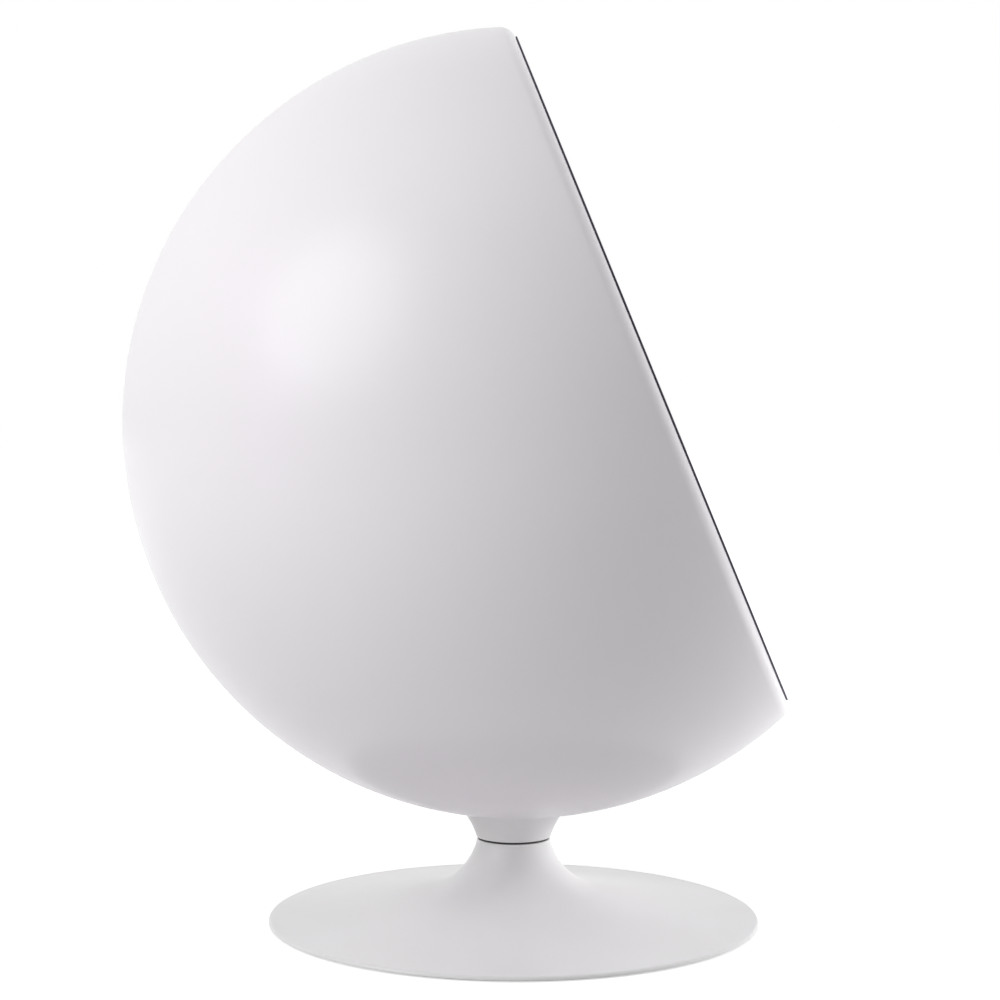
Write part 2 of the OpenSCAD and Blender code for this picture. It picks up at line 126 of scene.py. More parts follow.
def polar(centre, radius, degrees):
    """Point of the XZ plane at an angle round a centre."""
    turn = math.radians(degrees)
    return Vector((centre[0] + radius * math.cos(turn), centre[1] + radius * math.sin(turn)))


LIP_CENTRE = polar((0, 0), SHELL_R - LIP_R, LIP_RAY)
FLARE_C = polar((NECK_R, NECK_TOP), FLARE_R, NECK_LEAN)
FLARE_END = polar(FLARE_C, FLARE_R, 270 - FLARE_SLOPE)
DISC_END = Vector((BASE_R, BASE_EDGE_TOP))
DISC_TURN = FLARE_SLOPE - math.degrees(math.atan2(FLARE_END.y - DISC_END.y, DISC_END.x - FLARE_END.x))
DISC_R = (DISC_END - FLARE_END).length / (2 * math.sin(math.radians(DISC_TURN)))
DISC_C = polar(FLARE_END, DISC_R, 90 - FLARE_SLOPE)
COLLAR_FLARE_C = polar((COLLAR_R, COLLAR_LOW), COLLAR_FLARE_R, -COLLAR_LEAN)


# Modelling

def deselect():
    """Leaves nothing selected and no piece in edit mode."""
    if bpy.context.object and bpy.context.object.mode != "OBJECT":
        bpy.ops.object.mode_set(mode="OBJECT")
    bpy.ops.object.select_all(action="DESELECT")


def activate(piece):
    """Selects one piece and nothing else."""
    deselect()
    piece.select_set(True)
    bpy.context.view_layer.objects.active = piece


def edit(piece):
    """Opens one piece in edit mode with nothing of it selected."""
    activate(piece)
    bpy.ops.object.mode_set(mode="EDIT")
    bpy.ops.mesh.select_all(action="DESELECT")


def pick(piece, rule):
    """Selects the edges that a rule holds for, and leaves the piece in edit mode."""
    edit(piece)
    bpy.ops.mesh.select_mode(type="EDGE")
    bpy.ops.object.mode_set(mode="OBJECT")
    for part in piece.data.edges:
        part.select = rule(part)
    bpy.ops.object.mode_set(mode="EDIT")


def settle(piece, place=None):
    """Moves a piece's place into its mesh, so that its object sits at the origin."""
    bpy.ops.object.mode_set(mode="OBJECT")
    activate(piece)
    bpy.ops.object.transform_apply(location=True, rotation=True, scale=True)
    if place is not None:
        piece.data.transform(place)
    return piece


def draw(name, start, moves):
    """Draws an outline from a start point: a pair is a line to a point, a triple an arc of (centre, degrees,
    steps), positive from +X towards +Z. The piece stays in edit mode."""
    deselect()
    bpy.ops.mesh.primitive_plane_add(size=MM, location=(start[0], 0, start[1]))
    piece = bpy.context.object
    piece.name = name
    piece.data.name = name
    bpy.ops.object.mode_set(mode="EDIT")
    bpy.ops.mesh.select_mode(type="VERT")
    bpy.ops.mesh.select_all(action="SELECT")
    bpy.ops.mesh.merge(type="CENTER")
    here = Vector((start[0], 0, start[1]))
    for move in moves:
        if len(move) == 2:
            there = Vector((move[0], 0, move[1]))
            bpy.ops.mesh.extrude_region_move(TRANSFORM_OT_translate={"value": there - here})
        else:
            (x, z), degrees, steps = move
            centre = Vector((x, 0, z))
            bpy.ops.mesh.spin(steps=steps, angle=math.radians(abs(degrees)), center=centre,
                              axis=(0, math.copysign(1, degrees), 0))
            there = centre + Matrix.Rotation(-math.radians(degrees), 3, "Y") @ (here - centre)
        here = there
    bpy.ops.mesh.select_all(action="SELECT")
    bpy.ops.mesh.remove_doubles(threshold=WELD)
    return piece


def lathe(piece, steps, angle=30, place=None):
    """Spins an outline all the way round Z into a closed solid."""
    bpy.ops.mesh.select_all(action="SELECT")
    bpy.ops.mesh.spin(steps=steps, angle=2 * math.pi, center=(0, 0, 0), axis=(0, 0, 1))
    tidy(piece, angle, place)


def tidy(piece, angle=30, place=None):
    """Merges doubles, turns the faces outwards, puts the piece in its place and smooths it."""
    bpy.ops.mesh.select_all(action="SELECT")
    bpy.ops.mesh.remove_doubles(threshold=WELD)
    bpy.ops.mesh.delete_loose()
    bpy.ops.mesh.select_all(action="SELECT")
    bpy.ops.mesh.normals_make_consistent(inside=False)
    settle(piece, place)
    bpy.ops.object.shade_smooth_by_angle(angle=math.radians(angle))


def modify(piece, kind, **settings):
    """Adds a modifier with its settings and applies it."""
    activate(piece)
    made = piece.modifiers.new(kind.title(), kind)
    for key, value in settings.items():
        setattr(made, key, value)
    bpy.ops.object.modifier_apply(modifier=made.name)


def soften(piece, width, segments, angle):
    """Rounds the edges that are sharper than an angle."""
    modify(piece, "BEVEL", width=width, segments=segments, limit_method="ANGLE", angle_limit=math.radians(angle))


def cut_off(point, normal):
    """Cuts off all that lies beyond a plane and closes the cut, in edit mode."""
    bpy.ops.mesh.select_all(action="SELECT")
    bpy.ops.mesh.bisect(plane_co=point, plane_no=normal, use_fill=True, clear_outer=True)


def copied(piece, name, place):
    """A copy with its own mesh, moved by a matrix."""
    made = piece.copy()
    made.data = piece.data.copy()
    made.name = name
    made.data.name = name
    made.data.transform(place)
    bpy.context.scene.collection.objects.link(made)
    return made


def joined(pieces, name):
    """Joins pieces into the first one."""
    deselect()
    for piece in pieces:
        piece.select_set(True)
    bpy.context.view_layer.objects.active = pieces[0]
    bpy.ops.object.join()
    pieces[0].name = name
    return pieces[0]


def weave_map(piece, rule):
    """Lays the cloth's threads on a piece: rule gives a corner's place on the flat cloth, in metres."""
    mesh = piece.data
    layer = mesh.uv_layers.get("weave") or mesh.uv_layers.new(name="weave")
    for face in mesh.polygons:
        for corner in face.loop_indices:
            place = mesh.vertices[mesh.loops[corner].vertex_index].co
            layer.data[corner].uv = rule(place, face)


def hand_over(piece, body, slot, material, *nodes):
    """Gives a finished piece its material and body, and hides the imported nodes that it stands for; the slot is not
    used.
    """
    piece.data.materials.clear()
    piece.data.materials.append(material)
    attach(piece, body)
    if nodes:
        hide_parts(*nodes)


# Materials

def add(tree, kind, settings, *links):
    """Adds a node, sets its properties and values, and links (input, node, output) into it."""
    made = tree.nodes.new(kind)
    for key, value in settings.items():
        if key == "stops":
            for place, (position, code) in enumerate(value):
                stops = made.color_ramp.elements
                stop = stops[place] if place < len(stops) else stops.new(position)
                stop.position = position
                stop.color = colour(code)
        elif isinstance(key, int) or key in made.inputs:
            made.inputs[key].default_value = value
        else:
            setattr(made, key, value)
    for socket, source, output in links:
        tree.links.new(source.outputs[output], made.inputs[socket])
    return made


def new_material(name):
    """A named material with an empty tree, its tree and its object coordinates."""
    made = bpy.data.materials.get(name) or bpy.data.materials.new(name)
    made.use_nodes = True
    tree = made.node_tree
    tree.nodes.clear()
    return made, tree, add(tree, "ShaderNodeTexCoord", {})


def grain(tree, place, scale, detail, **more):
    """Noise in a piece's own coordinates, its scale per metre."""
    return add(tree, "ShaderNodeTexNoise", {"Scale": scale, "Detail": detail, **more}, ("Vector", place, "Object"))


def ramp(tree, source, output, *stops):
    """Colours along a value."""
    return add(tree, "ShaderNodeValToRGB", {"stops": stops}, ("Fac", source, output))


def spread(tree, source, low, high, start=0.0, end=1.0):
    """A noise's value from start to end, stretched from low to high."""
    return add(tree, "ShaderNodeMapRange", {"From Min": start, "From Max": end, "To Min": low, "To Max": high},
               ("Value", source, "Fac"))


def bumps(tree, source, output, strength, height):
    """Relief of a height."""
    return add(tree, "ShaderNodeBump", {"Strength": strength, "Distance": height}, ("Height", source, output))


def reckon(tree, operation, numbers, *links):
    """A sum of numbers (by input) and links."""
    return add(tree, "ShaderNodeMath", {"operation": operation, **numbers}, *links)


def surface(tree, settings, shade, gloss=None, relief=None):
    """Ends a material's tree in the shader and the output."""
    links = [("Base Color", shade, "Color")]
    if gloss:
        links.append(("Roughness", gloss, "Result"))
    if relief:
        links.append(("Normal", relief, "Normal"))
    shader = add(tree, "ShaderNodeBsdfPrincipled", settings, *links)
    add(tree, "ShaderNodeOutputMaterial", {}, ("Surface", shader, "BSDF"))


def polished_gelcoat(code):
    """White gelcoat over glass fibre, sprayed into a mould and polished: a deep gloss with a faint long ripple where
    the laminate shrank behind it, fine polishing haze and no grain."""
    made, tree, place = new_material("polished_gelcoat")
    shade = ramp(tree, grain(tree, place, 3.0, 2.0), "Fac", (0.3, code), (0.75, "#f1eef1"))
    gloss = spread(tree, grain(tree, place, 45.0, 4.0, Roughness=0.6), 0.29, 0.34, 0.3, 0.7)
    # The laminate's ripple is 60 to 90 mm long and a few hundredths of a millimetre high
    relief = bumps(tree, grain(tree, place, 14.0, 1.0), "Fac", 1.0, 0.03 * MM)
    surface(tree, {"IOR": 1.5, "Coat Weight": 0.3, "Coat Roughness": 0.22}, shade, gloss, relief)
    return made


def sprayed_enamel(code):
    """White enamel sprayed on a spun and cast metal foot: a shade harder and more even than the gelcoat, with the
    fine orange peel of a sprayed coat."""
    made, tree, place = new_material("sprayed_enamel")
    tone = grain(tree, place, 6.0, 2.0)
    shade = ramp(tree, tone, "Fac", (0.3, code), (0.75, "#f0efef"))
    gloss = spread(tree, tone, 0.29, 0.35, 0.3, 0.7)
    # Orange peel of about 3 mm, drawn 6 mm wide so that it shows
    relief = bumps(tree, grain(tree, place, 165.0, 2.0), "Fac", 0.6, 0.02 * MM)
    surface(tree, {"IOR": 1.5, "Coat Weight": 0.2, "Coat Roughness": 0.15}, shade, gloss, relief)
    return made


def woven_wool(code, thread):
    """Plain-woven wool upholstery cloth, piece-dyed a dark violet grey: matt, with a soft nap that catches light at
    the edges, threads that vary a little in thickness and tone, painted shade in the hollows between the threads, and
    slight pilling."""
    made, tree, place = new_material("woven_wool")
    flat = add(tree, "ShaderNodeUVMap", {"uv_map": "weave"})
    sway = add(tree, "ShaderNodeVectorMath", {"operation": "SCALE", "Scale": 0.8 * MM},
               ("Vector", grain(tree, place, 90.0, 2.0), "Color"))
    shifted = add(tree, "ShaderNodeVectorMath", {"operation": "ADD"}, (0, flat, "UV"), (1, sway, "Vector"))
    counts = add(tree, "ShaderNodeVectorMath", {"operation": "SCALE", "Scale": 1 / thread},
                 ("Vector", shifted, "Vector"))
    parts = add(tree, "ShaderNodeSeparateXYZ", {}, ("Vector", counts, "Vector"))
    over = add(tree, "ShaderNodeTexChecker", {"Scale": 1.0, "Color1": (1, 1, 1, 1), "Color2": (0, 0, 0, 1)},
               ("Vector", counts, "Vector"))
    ridges = []
    for axis in ("X", "Y"):
        turn = reckon(tree, "MULTIPLY", {1: math.pi}, (0, parts, axis))
        ridges.append(reckon(tree, "ABSOLUTE", {}, (0, reckon(tree, "SINE", {}, (0, turn, 0)), 0)))
    warp = reckon(tree, "MULTIPLY", {}, (0, ridges[0], 0), (1, over, "Fac"))
    under = reckon(tree, "SUBTRACT", {0: 1.0}, (1, over, "Fac"))
    weft = reckon(tree, "MULTIPLY", {}, (0, ridges[1], 0), (1, under, 0))
    threads = reckon(tree, "ADD", {}, (0, warp, 0), (1, weft, 0))
    nap = grain(tree, place, 900.0, 3.0, Roughness=0.7)
    height = reckon(tree, "MULTIPLY_ADD", {1: 0.5}, (0, nap, "Fac"), (2, threads, 0))
    relief = bumps(tree, height, 0, 0.7, 0.35 * MM)
    dye = grain(tree, place, 220.0, 5.0, Roughness=0.65)
    # Painted shade: the colour darkens in the hollows between the threads and lightens on their crowns, following the
    # relief's height. The dye's tone also varies at random.
    thread_crown_shade = reckon(tree, "MULTIPLY_ADD", {1: 0.35, 2: 0.1}, (0, threads, 0))
    depth = reckon(tree, "MULTIPLY_ADD", {1: 0.6}, (0, dye, "Fac"), (2, thread_crown_shade, 0))
    shade = ramp(tree, depth, 0, (0.25, "#433e4a"), (0.62, code), (0.9, "#6a6573"))
    surface(tree, {"IOR": 1.45, "Roughness": 0.92, "Sheen Weight": 0.25, "Sheen Roughness": 0.45,
                   "Sheen Tint": colour("#b8b0c2"), "Specular IOR Level": 0.25}, shade, None, relief)
    return made


def moulded_rubber(code):
    """Black nitrile rubber, moulded: matt, with a faint bloom."""
    made, tree, place = new_material("moulded_rubber")
    shade = ramp(tree, grain(tree, place, 60.0, 4.0), "Fac", (0.35, code), (0.75, "#3b3a3a"))
    relief = bumps(tree, grain(tree, place, 1200.0, 2.0), "Fac", 0.4, 0.05 * MM)
    surface(tree, {"IOR": 1.52, "Roughness": 0.62}, shade, None, relief)
    return made


def cast_iron(code):
    """Grey cast iron, sand cast and oiled: dark, pitted by the sand's 0.4 mm grains."""
    made, tree, place = new_material("cast_iron")
    sand = add(tree, "ShaderNodeTexVoronoi", {"Scale": 600.0}, ("Vector", place, "Object"))
    stain = grain(tree, place, 18.0, 5.0)
    shade = ramp(tree, stain, "Fac", (0.3, code), (0.6, "#565453"), (0.8, "#5f5650"))
    surface(tree, {"Metallic": 0.7}, shade, spread(tree, stain, 0.5, 0.75),
            bumps(tree, sand, "Distance", 0.6, 0.2 * MM))
    return made


def zinc_sheet(code):
    """Cold-rolled sheet steel, bright zinc plated: pale, a little cloudy, with the rolling direction just showing."""
    made, tree, place = new_material("zinc_sheet")
    along = add(tree, "ShaderNodeMapping", {"Scale": (1.0, 14.0, 1.0)}, ("Vector", place, "Object"))
    rolled = add(tree, "ShaderNodeTexNoise", {"Scale": 60.0, "Detail": 5.0}, ("Vector", along, "Vector"))
    shade = ramp(tree, grain(tree, place, 9.0, 3.0), "Fac", (0.35, code), (0.7, "#c4c8cc"))
    surface(tree, {"Metallic": 1.0}, shade, spread(tree, rolled, 0.3, 0.5), bumps(tree, rolled, "Fac", 0.3, 0.02 * MM))
    return made


def turned_steel(code):
    """Bearing steel, turned and ground on a lathe: bright, with fine rings round the swivel axis."""
    made, tree, place = new_material("turned_steel")
    # Tool marks of 0.1 mm, drawn 0.8 mm apart so that they show
    rings = add(tree, "ShaderNodeTexWave", {"wave_type": "RINGS", "rings_direction": "Z", "Scale": 390.0,
                                            "Distortion": 0.4, "Detail": 2.0}, ("Vector", place, "Object"))
    oil = grain(tree, place, 40.0, 3.0)
    shade = ramp(tree, oil, "Fac", (0.3, code), (0.7, "#c9cccf"))
    surface(tree, {"Metallic": 1.0}, shade, spread(tree, oil, 0.2, 0.34), bumps(tree, rings, "Fac", 0.25, 0.02 * MM))
    return made


def plated_steel(code):
    """Bolts and screws of hardened steel, zinc plated and passivated: a cool grey with a faint warm cast."""
    made, tree, place = new_material("plated_steel")
    film = grain(tree, place, 150.0, 4.0)
    shade = ramp(tree, film, "Fac", (0.3, code), (0.6, "#a8a9a8"), (0.85, "#b5ae9d"))
    surface(tree, {"Metallic": 1.0}, shade, spread(tree, film, 0.28, 0.46))
    return made


def sintered_bronze(code):
    """Sintered bronze, pressed from powder and soaked in oil: brown gold, porous and satin."""
    made, tree, place = new_material("sintered_bronze")
    pores = add(tree, "ShaderNodeTexVoronoi", {"Scale": 1500.0}, ("Vector", place, "Object"))
    shade = ramp(tree, grain(tree, place, 70.0, 4.0), "Fac", (0.3, code), (0.75, "#b98f58"))
    surface(tree, {"Metallic": 1.0, "Roughness": 0.42}, shade, None, bumps(tree, pores, "Distance", 0.5, 0.06 * MM))
    return made


def seen_rays(tree):
    """One for what the camera, a reflection or a see-through piece shows, nought for light on a surface."""
    path = add(tree, "ShaderNodeLightPath", {})
    direct = reckon(tree, "ADD", {}, (0, path, "Is Camera Ray"), (1, path, "Is Glossy Ray"))
    return reckon(tree, "ADD", {"use_clamp": True}, (0, direct, 0), (1, path, "Is Transmission Ray"))


def studio_floor(code, lift):
    """Seamless pale studio paper: matt, with a very faint mottle, lifted to white where it is seen."""
    made, tree, place = new_material("studio_floor")
    # As dark as the photograph's shell needs it, which is lit from below by this paper
    shade = ramp(tree, grain(tree, place, 2.5, 3.0), "Fac", (0.3, code), (0.7, "#dbdbdc"))
    matt = add(tree, "ShaderNodeBsdfDiffuse", {}, ("Color", shade, "Color"))
    # Near the chair the lift is smaller, so that its shadow stays
    away = add(tree, "ShaderNodeVectorMath", {"operation": "LENGTH"}, (0, place, "Object"))
    amount = add(tree, "ShaderNodeMapRange", {"From Min": 0.5, "From Max": 3.5, "To Min": lift, "To Max": 1.0},
                 ("Value", away, "Value"))
    level = reckon(tree, "MULTIPLY", {}, (0, seen_rays(tree), 0), (1, amount, "Result"))
    glow = add(tree, "ShaderNodeEmission", {"Color": colour("#ffffff")}, ("Strength", level, 0))
    both = add(tree, "ShaderNodeAddShader", {}, (0, matt, "BSDF"), (1, glow, "Emission"))
    add(tree, "ShaderNodeOutputMaterial", {}, ("Surface", both, "Shader"))
    return made


# User settings

def length_property(name, description, default, low, high):
    """A length that the user may change, given here in millimetres."""
    return bpy.props.FloatProperty(name=name, description=description, default=default * MM, min=low * MM,
                                   max=high * MM, unit="LENGTH")


def power_property(name, place, default):
    """A lamp's power that the user may change."""
    return bpy.props.FloatProperty(name=name, description="Power of the lamp " + place, default=default, min=0,
                                   max=500, unit="POWER")


def colour_property(name, description, code):
    """A colour that the user may change."""
    return bpy.props.StringProperty(name=name, description=description + ", as an sRGB hex value", default=code)


class PodChairSizes(bpy.types.PropertyGroup):
    """Sizes of the upholstery's finish."""

    gore_puff: length_property("Gore puff", "How far the lining sinks at its seams", 8, 0, 14)
    gore_edge: length_property("Gore edge", "Width of the sunken edge beside a seam of the lining", 20, 5, 60)
    piping_r: length_property("Piping radius", "Radius of the piping on the cushions", 2.6, 1, 5)
    cushion_swell: length_property("Cushion swell", "Most that a cushion's cover may move while it fills", 22, 0, 30)
    cushion_mesh: length_property("Cushion mesh", "Edge length of the cushions' mesh before it fills", 7, 4, 20)
    thread: length_property("Thread", "Spacing of the cloth's threads, drawn coarser than the real 1.2 mm", 2.4,
                            0.5, 6)


class PodChairColours(bpy.types.PropertyGroup):
    """Main colours."""

    shell: colour_property("Shell", "Colour of the gelcoat", "#f3eff4")
    foot: colour_property("Foot", "Colour of the enamel on foot and collar", "#f2f1f2")
    cloth: colour_property("Cloth", "Colour of the upholstery", "#56515e")
    rubber: colour_property("Rubber", "Colour of the seal and the glide ring", "#2a2829")
    floor: colour_property("Floor", "Colour of the floor where light falls on it", "#d7d7d7")


class PodChairStage(bpy.types.PropertyGroup):
    """Light of the photograph, fitted to its tones."""

    sky: bpy.props.FloatProperty(
        name="Sky", description="Mean strength of the white light from all round", default=0.315, min=0, max=2)
    sky_fall: bpy.props.FloatProperty(
        name="Sky fall", description="Share by which that light is less on the camera's side and more beyond",
        default=0.32, min=0, max=1)
    key: power_property("Key lamp", "that the shell's highlight shows", 16)
    side: power_property("Side lamp", "behind the chair that lights its back widely", 33)
    top: power_property("Top lamp", "over the chair", 9)
    front: power_property("Front lamp", "beside the opening, low down", 55)
    floor_lift: bpy.props.FloatProperty(
        name="Floor lift", description="White that the camera sees on the floor besides its light", default=0.62,
        min=0, max=1)


def sizes():
    return bpy.context.scene.pod_chair_sizes


def colours():
    return bpy.context.scene.pod_chair_colours


# Pieces

def lip_point(x, y):
    """Point of the lip's section, from its centre: x along the ray outwards, y towards the crest."""
    return polar(polar(LIP_CENTRE, x, LIP_RAY), y, LIP_RAY + 90)


def wedge(piece, turns, angle=40):
    """Spins an outline round Z through a row of (degrees, steps), closes both ends and leaves its middle on +X."""
    bpy.ops.mesh.select_all(action="SELECT")
    for degrees, steps in turns:
        bpy.ops.mesh.spin(steps=steps, angle=math.radians(degrees), center=(0, 0, 0), axis=(0, 0, 1))
    bpy.ops.mesh.select_all(action="SELECT")
    bpy.ops.mesh.remove_doubles(threshold=WELD)
    bpy.ops.mesh.select_all(action="DESELECT")
    bpy.ops.mesh.select_mode(type="EDGE")
    bpy.ops.mesh.select_non_manifold(extend=False, use_wire=False, use_boundary=True, use_multi_face=False,
                                     use_non_contiguous=False, use_verts=False)
    bpy.ops.mesh.edge_face_add()
    tidy(piece, angle)
    middle = sum((v.co for v in piece.data.vertices), Vector()) / len(piece.data.vertices)
    piece.data.transform(Matrix.Rotation(-math.atan2(middle.y, middle.x), 4, "Z"))


def seam_turns(degrees, edge, fine, coarse):
    """Steps of a wedge that are close together beside its two seams."""
    return [(edge, fine), (degrees - 2 * edge, coarse), (edge, fine)]


def seam_sink(distance, along):
    """How far padded cloth sinks at a distance from its seam, with small puckers along it."""
    share = min(1.0, max(0.0, 1 - distance / sizes().gore_edge))
    sink = sizes().gore_puff * (1 - math.sqrt(1 - share * share))
    pucker = noise.noise((along / PUCKER_PITCH, PUCKER_ROW, 0)) * math.exp(-distance / PUCKER_REACH)
    return max(0.0, sink + PUCKER_DEPTH * pucker)


def flat_cloth(place, face):
    """Cloth laid over a piece from the side that a face looks to."""
    x, y, z = (abs(c) for c in face.normal)
    if z >= max(x, y):
        return place.x, place.y
    return (place.y, place.z) if x > y else (place.x, place.z)


def rim_cloth(centre, radius):
    """Cloth laid along the rim and round a centre of its section."""
    return lambda place, face: (
        RIM_R * math.atan2(place.y, place.x),
        radius * math.atan2(place.z - centre.y, math.hypot(place.x, place.y) - centre.x))


def places_round():
    """Numbers from 1 and places of what repeats round the opening."""
    return [(count + 1, IN_SHELL @ Matrix.Rotation(math.radians(count * GORE_STEP - 90), 4, "Z"))
            for count in range(GORE_COUNT)]


def edge_angles(piece):
    """Angle between the two faces of each edge that has two, by the edge's corners."""
    normals = {}
    for face in piece.data.polygons:
        for key in face.edge_keys:
            normals.setdefault(key, []).append(face.normal.copy())
    return {key: pair[0].angle(pair[1], 0) for key, pair in normals.items() if len(pair) == 2}


def lip_reach(piece, edge):
    """Distance of an edge's middle from the lip's centre circle, in the shell's own frame."""
    middle = sum((piece.data.vertices[i].co for i in edge.vertices), Vector()) / 2
    return math.hypot(math.hypot(middle.x, middle.y) - LIP_CENTRE.x, middle.z - LIP_CENTRE.y)


class PODCHAIR_OT_shell(bpy.types.Operator):
    """The moulded sphere, with its rim rolled in to a hollow lip"""

    bl_idname = "pod_chair.shell"
    bl_label = "Shell"

    def execute(self, context):
        piece = draw("moulded_shell", (0, -SHELL_R), [
            ((0, 0), 90 + LIP_RAY, 112),
            (LIP_CENTRE, 180, 30),
            lip_point(SHELL_WALL - LIP_R, 0),
            (LIP_CENTRE, -180, 22),
            ((0, 0), -90 - LIP_RAY, 70)])
        lathe(piece, 256, 60, IN_SHELL)
        hand_over(piece, "seat", "white_gelcoat", polished_gelcoat(colours().shell), "shell")
        return {"FINISHED"}


class PODCHAIR_OT_rim_trim(bpy.types.Operator):
    """The padded roll over the lip, in eight sewn lengths, and the piping at its outer edge"""

    bl_idname = "pod_chair.rim_trim"
    bl_label = "Rim trim"

    def execute(self, context):
        cloth = woven_wool(colours().cloth, sizes().thread)
        seat = LIP_R + CLOSE_GAP
        top = LIP_R + ROLL_T
        tuck = SIDE_GAP + SHELL_WALL - LIP_R
        start = 90 - LIP_RAY + math.degrees(math.asin((WELT_R + SIDE_GAP) / (LIP_R + WELT_R)))
        piece = draw("roll_length", polar(LIP_CENTRE, seat, LIP_RAY + start), [
            polar(LIP_CENTRE, top, LIP_RAY + start),
            (LIP_CENTRE, 180 - start, 30),
            lip_point(-top, -ROLL_T),
            lip_point(tuck, -ROLL_T),
            lip_point(tuck, -CLOSE_GAP),
            lip_point(-seat, -CLOSE_GAP),
            lip_point(-seat, 0),
            (LIP_CENTRE, start - 180, 24)])
        wedge(piece, seam_turns(GORE_STEP - 0.03, 1.2, 3, 34))
        # The roll's outer edges at its sewn ends
        angles = edge_angles(piece)
        pick(piece, lambda edge: angles.get(edge.key, 0) > math.radians(50)
             and lip_reach(piece, edge) > seat + 0.4 * ROLL_T)
        bpy.ops.mesh.bevel(offset=0.45 * ROLL_T, segments=4, profile=0.6)
        tidy(piece, 50)
        weave_map(piece, rim_cloth(LIP_CENTRE, top))
        for number, place in places_round():
            hand_over(copied(piece, f"rim_roll_{number}", place), "seat", "dark_fabric", cloth, "rim_roll")
        bpy.data.objects.remove(piece)

        middle = polar(LIP_CENTRE, LIP_R + WELT_R + CLOSE_GAP, 90)
        cord = draw("rim_piping", polar(middle, WELT_R, 0), [(middle, 360, 18)])
        lathe(cord, 384, 60)
        weave_map(cord, rim_cloth(middle, WELT_R))
        cord.data.transform(IN_SHELL)
        hand_over(cord, "seat", "dark_fabric", cloth, "rim_welt")
        return {"FINISHED"}


class PODCHAIR_OT_lining(bpy.types.Operator):
    """Eight padded gores and the round panel where they meet, sunk at their seams"""

    bl_idname = "pod_chair.lining"
    bl_label = "Lining"

    def execute(self, context):
        cloth = woven_wool(colours().cloth, sizes().thread)
        # Degrees: the gap at a gore's two ends and between two gores, and the finely stepped edge beside a seam
        end_gap = 0.07
        row_gap = 0.08
        edge = 2.2
        low = CAP_RAY + end_gap
        high = LIP_RAY - end_gap
        gore = draw("gore", polar((0, 0), LINING_INNER_R, low), [
            ((0, 0), edge, 8),
            ((0, 0), high - low - 2 * edge, 44),
            ((0, 0), edge, 8),
            polar((0, 0), LINING_OUTER_R, high),
            ((0, 0), low - high, 24),
            polar((0, 0), LINING_INNER_R, low)])
        wedge(gore, seam_turns(GORE_STEP - row_gap, 2.4, 9, 24), 60)
        half = math.radians(GORE_STEP / 2)
        for vertex in gore.data.vertices:
            x, y, z = vertex.co
            reach = vertex.co.length
            if reach > LINING_INNER_R + MM:
                continue
            ray = math.asin(z / reach)
            turn = math.atan2(y, x)
            side = (half - abs(turn)) * reach * math.cos(ray)
            foot = (ray - math.radians(low)) * reach
            head = (math.radians(high) - ray) * reach
            if side < min(foot, head):
                sink = seam_sink(side, ray * reach + math.copysign(1, turn))
            else:
                # Each end has puckers of its own
                shift = 2 if foot < head else 5
                sink = seam_sink(min(foot, head), turn * reach * math.cos(ray) + shift)
            vertex.co *= (reach + sink) / reach
        weave_map(gore, lambda place, face: (
            LINING_INNER_R * math.cos(math.asin(place.z / place.length)) * math.atan2(place.y, place.x),
            LINING_INNER_R * math.asin(place.z / place.length)))
        for number, place in places_round():
            panel = copied(gore, f"lining_gore_{number}", place)
            hand_over(panel, "seat", "dark_fabric", cloth, "lining_gores")
        bpy.data.objects.remove(gore)

        rim = CAP_RAY - 0.02
        cap = draw("lining_cap_panel", (0, -LINING_INNER_R), [
            ((0, 0), 90 + rim - edge, 22),
            ((0, 0), edge, 8),
            polar((0, 0), LINING_OUTER_R, rim),
            ((0, 0), -90 - rim, 14)])
        lathe(cap, 160, 60)
        for vertex in cap.data.vertices:
            reach = vertex.co.length
            if reach < LINING_INNER_R + MM:
                ray = math.asin(vertex.co.z / reach)
                turn = math.atan2(vertex.co.y, vertex.co.x)
                # Runs along the round seam without a jump where it closes
                along = 0.18 * math.cos(turn) + 0.3 * math.sin(turn)
                sink = seam_sink((math.radians(rim) - ray) * reach, along)
                vertex.co *= (reach + sink) / reach
        weave_map(cap, lambda place, face: (place.x, place.y))
        cap.data.transform(IN_SHELL)
        hand_over(cap, "seat", "dark_fabric", cloth, "lining_cap")
        return {"FINISHED"}


class PODCHAIR_OT_seat_base(bpy.types.Operator):
    """The covered foam block that levels the bottom of the sphere, with a slanted and softly rounded front"""

    bl_idname = "pod_chair.seat_base"
    bl_label = "Seat base"

    def execute(self, context):
        deselect()
        bpy.ops.mesh.primitive_uv_sphere_add(segments=160, ring_count=96, radius=SEAT_R, location=SHELL_CENTRE)
        piece = bpy.context.object
        piece.name = "seat_base_cover"
        bpy.ops.object.mode_set(mode="EDIT")
        cut_off((0, 0, SEAT_BASE_TOP), (0, 0, 1))
        cut_off(SHELL_CENTRE + OUT * SEAT_BASE_FRONT, OUT)
        tidy(piece, 50)
        # The front face is 32 mm high and ends in sharp corners, where a bevel would fold over itself
        modify(piece, "REMESH", mode="VOXEL", voxel_size=6 * MM, use_smooth_shade=True)
        modify(piece, "SMOOTH", factor=0.5, iterations=10)
        weave_map(piece, flat_cloth)
        hand_over(piece, "seat", "dark_fabric", woven_wool(colours().cloth, sizes().thread), "seat_base_foam")
        return {"FINISHED"}


